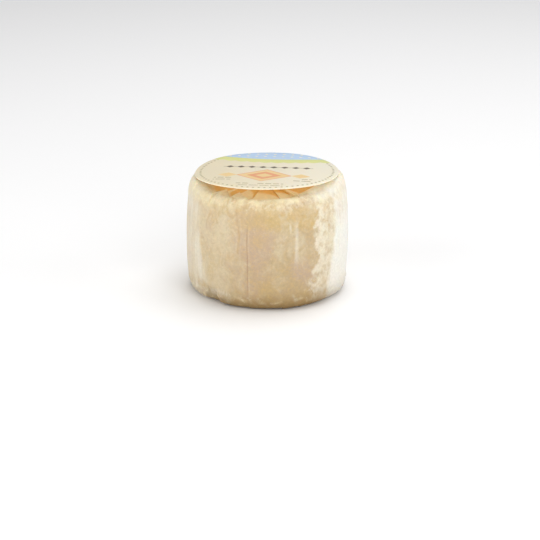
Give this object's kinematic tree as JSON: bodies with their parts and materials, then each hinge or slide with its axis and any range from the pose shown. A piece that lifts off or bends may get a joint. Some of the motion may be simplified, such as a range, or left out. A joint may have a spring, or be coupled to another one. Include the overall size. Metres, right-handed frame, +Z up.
{
  "type": "crottin goat cheese",
  "caption": "Small drum of soft goat cheese in a tight pleated paper wrap, with a round card label on top and a flat base to stand on.",
  "frame": {"origin": "centre of the flat base, on the surface that the cheese stands on", "axes": "+Z up, through the middle of the drum; -Y is the front, where the label's raised edge and the wrap's upright end edge show"},
  "size_m": [0.0499, 0.05, 0.0383],
  "materials": {
    "wrap_paper": "thin translucent paper, damp and tan where it clings to the cheese, cream where it stands off",
    "label_paper": "printed cream paper with a slight sheen"
  },
  "bodies": {
    "root": {"wrapped_cheese": "wrap_paper", "label": "label_paper"}
  },
  "joints": []
}
